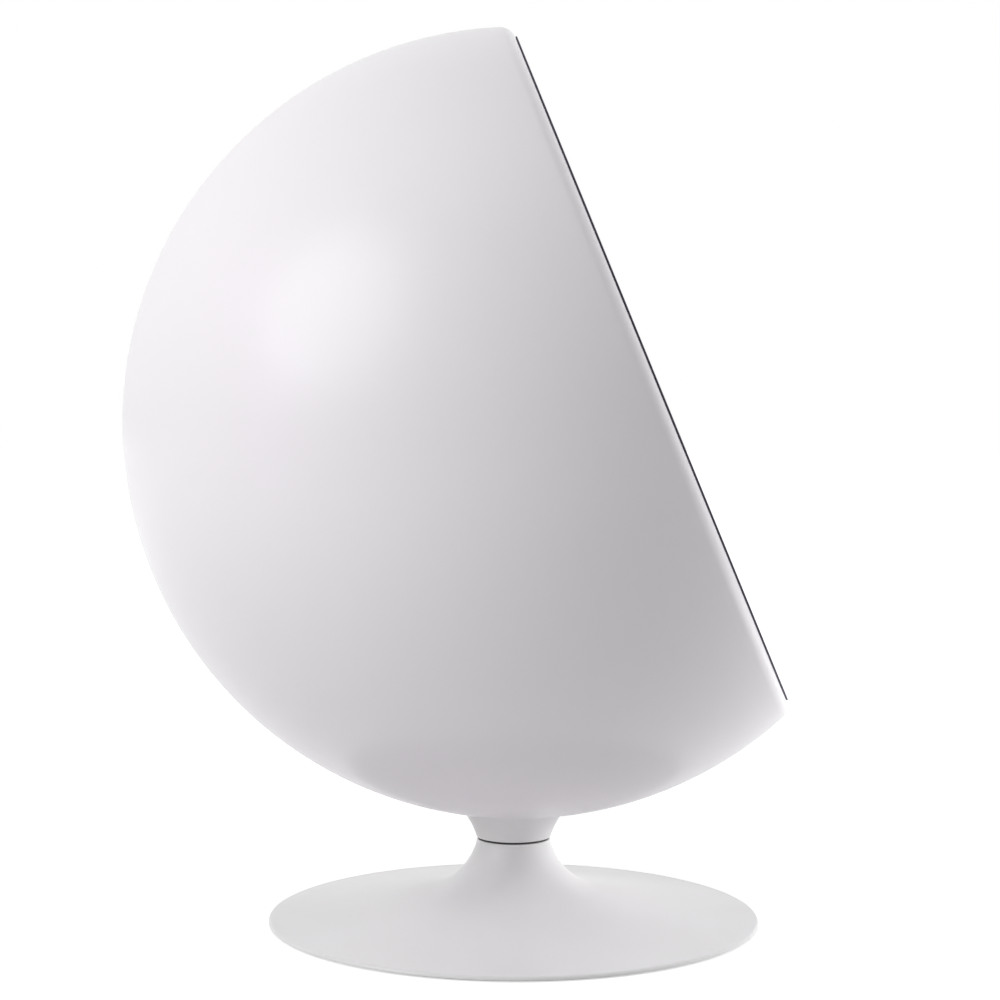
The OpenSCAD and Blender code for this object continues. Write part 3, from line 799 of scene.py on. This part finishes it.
def seam_path(piece, up, level, centre, count):
    """Points round a pad where its surface turns from the face on the side of up to its border."""
    bins = [[] for _ in range(count)]
    side = up.orthogonal().normalized()
    across = up.cross(side)
    for vertex in piece.data.vertices:
        lean = vertex.normal.dot(up)
        if abs(lean - level) < 0.16:
            out = vertex.co - centre
            turn = math.atan2(out.dot(across), out.dot(side)) % (2 * math.pi)
            bins[int(turn / (2 * math.pi) * count) % count].append((abs(lean - level), vertex.co.copy()))
    path = [min(found, key=lambda entry: entry[0])[1] for found in bins if found]
    for _ in range(3):
        path = [(path[i - 1] + path[i] * 2 + path[(i + 1) % len(path)]) / 4 for i in range(len(path))]
    return path


def piping(name, path, radius):
    """A covered cord along a closed path."""
    deselect()
    bpy.ops.curve.primitive_bezier_circle_add(radius=0.1)
    cord = bpy.context.object
    cord.name = name
    line = cord.data
    line.splines.clear()
    spline = line.splines.new("POLY")
    spline.points.add(len(path) - 1)
    for point, place in zip(spline.points, path):
        point.co = (*place, 1)
    spline.use_cyclic_u = True
    line.dimensions = "3D"
    line.bevel_depth = radius
    line.bevel_resolution = 3
    bpy.ops.object.convert(target="MESH")
    made = settle(bpy.context.object)
    bpy.ops.object.shade_smooth_by_angle(angle=math.radians(60))
    return made


def stuffed(node, name, up, level, keep_in):
    """A cushion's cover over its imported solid, filled by a cloth simulation that its two seams hold."""
    piece = bpy.data.objects.new(name, frame["nodes"][node].data.copy())
    bpy.context.scene.collection.objects.link(piece)
    edit(piece)
    tidy(piece, 80)
    modify(piece, "REMESH", mode="VOXEL", voxel_size=sizes().cushion_mesh, use_smooth_shade=True)
    edit(piece)
    bpy.ops.mesh.select_all(action="SELECT")
    bpy.ops.transform.shrink_fatten(value=-4 * MM)
    bpy.ops.object.mode_set(mode="OBJECT")
    modify(piece, "SMOOTH", factor=0.5, iterations=4)
    centre = sum((v.co for v in piece.data.vertices), Vector()) / len(piece.data.vertices)
    paths = [seam_path(piece, up, side * level, centre, 220) for side in (1, -1)]
    start = [v.co.copy() for v in piece.data.vertices]
    seams = piece.vertex_groups.new(name="seams")
    held = [v.index for v in piece.data.vertices if abs(abs(v.normal.dot(up)) - level) < 0.1]
    seams.add(held, 1.0, "REPLACE")
    cloth = piece.modifiers.new("Cloth", "CLOTH")
    for key, value in {"use_pressure": True, "uniform_pressure_force": 4, "vertex_group_mass": "seams",
                       "tension_stiffness": 12, "compression_stiffness": 12, "shear_stiffness": 4,
                       "bending_stiffness": 0.3, "shrink_min": -0.035, "quality": 4}.items():
        setattr(cloth.settings, key, value)
    cloth.settings.effector_weights.gravity = 0
    cloth.collision_settings.use_collision = False
    scene = bpy.context.scene
    for step in range(1, FILL_FRAMES + 1):
        scene.frame_set(step)
    activate(piece)
    bpy.ops.object.modifier_apply(modifier=cloth.name)
    scene.frame_set(1)
    for vertex, place in zip(piece.data.vertices, start):
        move = vertex.co - place
        if move.length > sizes().cushion_swell:
            move *= sizes().cushion_swell / move.length
        vertex.co = keep_in(place + move)
    modify(piece, "SUBSURF", levels=1, render_levels=1)
    bpy.ops.object.shade_smooth()
    return piece, paths


class PODCHAIR_OT_cushions(bpy.types.Operator):
    """The loose seat and back cushions, filled, with piping along their seams"""

    bl_idname = "pod_chair.cushions"
    bl_label = "Cushions"

    def execute(self, context):
        cloth = woven_wool(colours().cloth, sizes().thread)
        upward = Vector((0, 0, 1))
        forward = Vector((0, -math.cos(BACK_RECLINE), math.sin(BACK_RECLINE)))
        low = SEAT_BASE_TOP + SIDE_GAP

        def in_bowl(place):
            out = place - SHELL_CENTRE
            return SHELL_CENTRE + out * min(1, (SEAT_R - SIDE_GAP) / out.length)

        def seat_limits(place):
            kept = in_bowl(Vector((place.x, place.y, max(place.z, low))))
            roof = SEAT_TOP - max(0, kept.y - SEAT_FALL_START) * SEAT_FALL
            kept.z = min(kept.z, max(SEAT_TOP_REAR, roof))
            return kept

        def back_limits(place):
            kept = in_bowl(place)
            kept.z = max(kept.z, BACK_LOW)
            return kept

        for node, name, up, limits in (("seat_cushion", "seat_cushion_cover", upward, seat_limits),
                                       ("back_cushion", "back_cushion_cover", forward, back_limits)):
            piece, paths = stuffed(node, name, up, SEAM_LEAN, limits)
            weave_map(piece, flat_cloth)
            hand_over(piece, "seat", "dark_fabric", cloth, node)
            for end, path in zip(("front", "rear") if up is forward else ("top", "bottom"), paths):
                cord = piping(f"{node}_piping_{end}", path, sizes().piping_r)
                weave_map(cord, flat_cloth)
                hand_over(cord, "seat", "dark_fabric", cloth)
        return {"FINISHED"}


class PODCHAIR_OT_foot(bpy.types.Operator):
    """The enamelled trumpet foot with its bearing web and bosses, and the rubber glide ring under it"""

    bl_idname = "pod_chair.foot"
    bl_label = "Foot"

    def execute(self, context):
        enamel = sprayed_enamel(colours().foot)
        web_low = 86 * MM
        web_top = 94 * MM
        inner = FLARE_R + BASE_WALL
        under = DISC_R + BASE_WALL

        def flare_angle(height):
            return 180 + math.degrees(math.asin((FLARE_C.y - height) / inner))

        cavity = Vector((303 * MM, 0))
        cavity.y = DISC_C.y - math.sqrt(under ** 2 - (cavity.x - DISC_C.x) ** 2)
        cavity_angle = 180 + math.degrees(math.atan2(DISC_C.y - cavity.y, DISC_C.x - cavity.x))
        bend = 270 - FLARE_SLOPE
        groove_out = 325.1 * MM
        groove_in = 306.9 * MM
        groove_top = 3 * MM
        bore = 26.1 * MM
        # The outline runs down the outside, round the glide ring's groove and up the inside to the bearing's web
        piece = draw("trumpet_foot", (NECK_R, NECK_TOP), [
            (FLARE_C, bend - 180 - NECK_LEAN, 44),
            (DISC_C, 2 * DISC_TURN, 40),
            (BASE_R, BASE_EDGE_LOW),
            (groove_out, BASE_EDGE_LOW), (groove_out, groove_top), (groove_in, groove_top),
            (groove_in, BASE_EDGE_LOW), (cavity.x, BASE_EDGE_LOW),
            cavity,
            (DISC_C, bend - cavity_angle, 24),
            (FLARE_C, flare_angle(web_low) - bend, 20),
            (bore, web_low), (bore, web_top),
            polar(FLARE_C, inner, flare_angle(web_top)),
            (FLARE_C, flare_angle(NECK_TOP) - flare_angle(web_top), 6),
            (NECK_R, NECK_TOP)])
        lathe(piece, 256)
        # The disc's upper edge is rounded over, and catches the light above the thin dark side
        rounding = 3 * MM
        corner = Vector((0, 0, BASE_EDGE_TOP))
        pick(piece, lambda edge: all(
            abs((piece.data.vertices[i].co - corner).length - BASE_R) < 0.1 * MM
            and abs(piece.data.vertices[i].co.z - corner.z) < 0.1 * MM for i in edge.vertices))
        bpy.ops.mesh.bevel(offset=rounding, segments=6)
        bpy.ops.object.mode_set(mode="OBJECT")
        soften(piece, 0.8 * MM, 3, 40)

        boss_r = 10 * MM
        boss_low = 20 * MM
        boss_top = 45 * MM
        hole_r = 4.1 * MM
        hole_top = 30 * MM
        boss = draw("boss", (hole_r, boss_low), [
            (boss_r, boss_low), (boss_r, boss_top), (0, boss_top), (0, hole_top), (hole_r, hole_top),
            (hole_r, boss_low)])
        lathe(boss, 32)
        # Each boss ends in the middle of the disc's wall
        reach = 130 * MM
        middle = DISC_R + BASE_WALL / 2
        crown = DISC_C.y - math.sqrt(middle ** 2 - (reach - DISC_C.x) ** 2)
        lean = math.asin((DISC_C.x - reach) / middle)
        edit(boss)
        cut_off((0, 0, crown), (math.sin(lean), 0, math.cos(lean)))
        tidy(boss)
        bosses = [copied(boss, f"boss_{count}", Matrix.Rotation(math.radians(60 * count), 4, "Z")
                         @ Matrix.Translation((reach, 0, 0))) for count in range(6)]
        bpy.data.objects.remove(boss)
        piece = joined([piece, *bosses], "trumpet_foot")
        bpy.ops.object.shade_smooth_by_angle(angle=math.radians(30))
        hand_over(piece, "base", "white_metal", enamel, "base_trumpet")

        glide_out = groove_out - CLOSE_GAP
        glide_in = groove_in + CLOSE_GAP
        glide = draw("glide_strip", (glide_in, 0), [
            (glide_out, 0), (glide_out, groove_top), (glide_in, groove_top), (glide_in, 0)])
        lathe(glide, 256)
        soften(glide, 0.9 * MM, 3, 40)
        hand_over(glide, "base", "dark_rubber", moulded_rubber(colours().rubber), "glide_ring")
        return {"FINISHED"}


class PODCHAIR_OT_collar(bpy.types.Operator):
    """The enamelled collar that carries the shell, and the rubber seal in the seam under it"""

    bl_idname = "pod_chair.collar"
    bl_label = "Collar and seal"

    def execute(self, context):
        top = 156 * MM
        rise = math.degrees(math.asin((top - COLLAR_FLARE_C.y) / COLLAR_FLARE_R)) - COLLAR_LEAN
        bore = 12.6 * MM
        hub = 42 * MM
        hub_low = 108.6 * MM
        hollow = 28 * MM
        floor_top = 124 * MM
        piece = draw("swivel_cone", (bore, hub_low), [
            (hub, hub_low), (hub, COLLAR_LOW), (COLLAR_R, COLLAR_LOW),
            (COLLAR_FLARE_C, -rise, 24),
            (hollow, top), (hollow, floor_top), (bore, floor_top), (bore, hub_low)])
        lathe(piece, 192)
        deselect()
        bpy.ops.mesh.primitive_uv_sphere_add(segments=256, ring_count=256, radius=SHELL_R + 0.3 * MM,
                                             location=SHELL_CENTRE)
        cutter = settle(bpy.context.object)
        edit(cutter)
        cut_off((0, 0, 2 * top), (0, 0, 1))
        settle(cutter)
        modify(piece, "BOOLEAN", operation="DIFFERENCE", object=cutter, solver="EXACT")
        bpy.data.objects.remove(cutter)
        soften(piece, 0.5 * MM, 2, 50)
        bpy.ops.object.shade_smooth_by_angle(angle=math.radians(30))
        hand_over(piece, "seat", "white_metal", sprayed_enamel(colours().foot), "swivel_collar")

        bore = 42.3 * MM
        edge = NECK_R - 1 * MM
        low = NECK_TOP + 0.3 * MM
        seal = draw("swivel_seam_seal", (bore, low), [
            (edge - 1 * MM, low), (edge, low + 0.9 * MM), (edge, COLLAR_LOW - 0.9 * MM),
            (edge - 1 * MM, COLLAR_LOW), (bore, COLLAR_LOW), (bore, low)])
        lathe(seal, 160, 50)
        hand_over(seal, "seat", "dark_rubber", moulded_rubber(colours().rubber), "swivel_seal")
        return {"FINISHED"}


class PODCHAIR_OT_fixings(bpy.types.Operator):
    """Materials of the bearing, the ballast and the fixings, and the cover's countersunk screws"""

    bl_idname = "pod_chair.fixings"
    bl_label = "Bearing, ballast and fixings"

    def execute(self, context):
        finishes = {
            "ballast_iron": cast_iron("#46474a"),
            "sheet_steel": zinc_sheet("#aeb3b8"),
            "machined_steel": turned_steel("#b4b8bc"),
            "fastener_steel": plated_steel("#97999b"),
            "bush_bronze": sintered_bronze("#a0763f")}
        for part in frame["record"]["subparts"]:
            finish = finishes.get(part["material_slot"])
            if finish is not None:
                node = frame["nodes"][part["node"]]
                node.data.materials.clear()
                node.data.materials.append(finish)

        screw_circle = 210 * MM
        key_r = 1.45 * MM
        screw = draw("screw", (0, 2 * MM), [
            (3.6 * MM, 2 * MM), (4 * MM, 2.2 * MM), (2 * MM, 4 * MM), (2 * MM, 14.4 * MM), (1.5 * MM, 15 * MM),
            (0, 15 * MM)])
        lathe(screw, 32)
        deselect()
        bpy.ops.mesh.primitive_cylinder_add(vertices=6, radius=key_r, depth=3 * MM, location=(0, 0, 2 * MM))
        socket = settle(bpy.context.object)
        modify(screw, "BOOLEAN", operation="DIFFERENCE", object=socket, solver="EXACT")
        bpy.data.objects.remove(socket)
        for count in range(6):
            place = Matrix.Rotation(math.radians(60 * count + 30), 4, "Z") @ Matrix.Translation((screw_circle, 0, 0))
            hand_over(copied(screw, f"cover_screw_{count + 1}", place), "base", "fastener_steel",
                      finishes["fastener_steel"], "cover_screws")
        bpy.data.objects.remove(screw)
        return {"FINISHED"}


class PODCHAIR_OT_stage(bpy.types.Operator):
    """A pale floor, soft white light from all round, four lamps and the photograph's camera"""

    bl_idname = "pod_chair.stage"
    bl_label = "Floor, light and camera"

    def execute(self, context):
        scene = context.scene
        settings = scene.pod_chair_stage
        scene.view_settings.view_transform = "Standard"

        deselect()
        bpy.ops.mesh.primitive_circle_add(vertices=96, radius=30, fill_type="NGON", location=(0, 0, -0.2 * MM))
        ground = settle(bpy.context.object)
        ground.name = "studio_floor"
        ground.data.materials.append(studio_floor(colours().floor, settings.floor_lift))

        world = bpy.data.worlds.new("white_studio")
        scene.world = world
        world.use_nodes = True
        tree = world.node_tree
        tree.nodes.clear()
        # The room is darker on the camera's side, at -X
        place = add(tree, "ShaderNodeTexCoord", {})
        parts = add(tree, "ShaderNodeSeparateXYZ", {}, ("Vector", place, "Generated"))
        dim = settings.sky * settings.sky_fall
        room = add(tree, "ShaderNodeMapRange", {"From Min": -1.0, "From Max": 1.0, "To Min": settings.sky - dim,
                                                "To Max": settings.sky + dim}, ("Value", parts, "X"))
        level = add(tree, "ShaderNodeMapRange", {"To Max": 1.0}, ("Value", seen_rays(tree), 0),
                    ("To Min", room, "Result"))
        light = add(tree, "ShaderNodeBackground", {"Color": colour("#ffffff")}, ("Strength", level, "Result"))
        add(tree, "ShaderNodeOutputWorld", {}, ("Surface", light, "Background"))

        # Azimuth and height in degrees, distance and width in metres, power in watts
        for name, turn, rise, away, size, power in (
                ("key_lamp", 130, 27, 3.0, 2.0, settings.key),
                ("side_lamp", 134, 23, 3.0, 2.6, settings.side),
                ("top_lamp", 180, 75, 3.0, 2.2, settings.top),
                ("front_lamp", 285, 6, 3.0, 1.6, settings.front)):
            aim = Matrix.Rotation(math.radians(turn), 3, "Z") @ Matrix.Rotation(math.radians(-rise), 3, "Y")
            way = aim @ Vector((1, 0, 0))
            deselect()
            bpy.ops.object.light_add(type="AREA", location=SHELL_CENTRE + way * away)
            lamp = context.object
            lamp.name = name
            lamp.data.shape = "DISK"
            lamp.data.size = size
            lamp.data.energy = power
            lamp.rotation_euler = way.to_track_quat("Z", "Y").to_euler()
            # Only the key lamp leaves a highlight on the gelcoat
            lamp.visible_glossy = name == "key_lamp"

        deselect()
        bpy.ops.object.camera_add()
        camera = context.object
        camera.name = "photograph_camera"
        # Fitted to the outlines of shell, rim, neck and foot in the photograph
        right = Vector((0.0760506, -0.9971003, 0.0026875))
        up = Vector((0.0433015, 0.0059954, 0.9990441))
        back = Vector((-0.9961633, -0.0758615, 0.0436319))
        camera.matrix_world = Matrix.Translation((-2.949, -0.2049, 0.6991)) @ Matrix(
            (right, up, back)).transposed().to_4x4()
        camera.data.lens = 78.944
        camera.data.sensor_width = 36
        camera.data.clip_start = 0.05
        camera.data.clip_end = 200
        scene.camera = camera
        return {"FINISHED"}


class PODCHAIR_PT_build(bpy.types.Panel):
    """The chair's pieces in the order in which they are made"""

    bl_idname = "PODCHAIR_PT_build"
    bl_label = "Pod Chair"
    bl_space_type = "VIEW_3D"
    bl_region_type = "UI"
    bl_category = "Pod Chair"

    def draw(self, context):
        for group in GROUPS:
            settings = getattr(context.scene, group)
            box = self.layout.box()
            for name in settings.bl_rna.properties.keys():
                if name not in ("rna_type", "name"):
                    box.prop(settings, name)
        for piece in PIECES:
            self.layout.operator(piece.bl_idname)


GROUPS = {"pod_chair_sizes": PodChairSizes, "pod_chair_colours": PodChairColours,
          "pod_chair_stage": PodChairStage}
PIECES = (PODCHAIR_OT_shell, PODCHAIR_OT_rim_trim, PODCHAIR_OT_lining, PODCHAIR_OT_seat_base,
          PODCHAIR_OT_cushions, PODCHAIR_OT_foot, PODCHAIR_OT_collar, PODCHAIR_OT_fixings, PODCHAIR_OT_stage)
CLASSES = (*GROUPS.values(), *PIECES, PODCHAIR_PT_build)


def register():
    """Registers the settings, the operators and the panel."""
    for made in CLASSES:
        bpy.utils.register_class(made)
    for name, group in GROUPS.items():
        setattr(bpy.types.Scene, name, bpy.props.PointerProperty(type=group))


def unregister():
    """Takes them out again."""
    for name in GROUPS:
        delattr(bpy.types.Scene, name)
    for made in reversed(CLASSES):
        bpy.utils.unregister_class(made)


def main():
    """Makes the chair and its stage."""
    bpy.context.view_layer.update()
    register()
    bpy.ops.pod_chair.shell()
    bpy.ops.pod_chair.rim_trim()
    bpy.ops.pod_chair.lining()
    bpy.ops.pod_chair.seat_base()
    bpy.ops.pod_chair.cushions()
    bpy.ops.pod_chair.foot()
    bpy.ops.pod_chair.collar()
    bpy.ops.pod_chair.fixings()
    bpy.ops.pod_chair.stage()


if __name__ == "__main__":
    main()
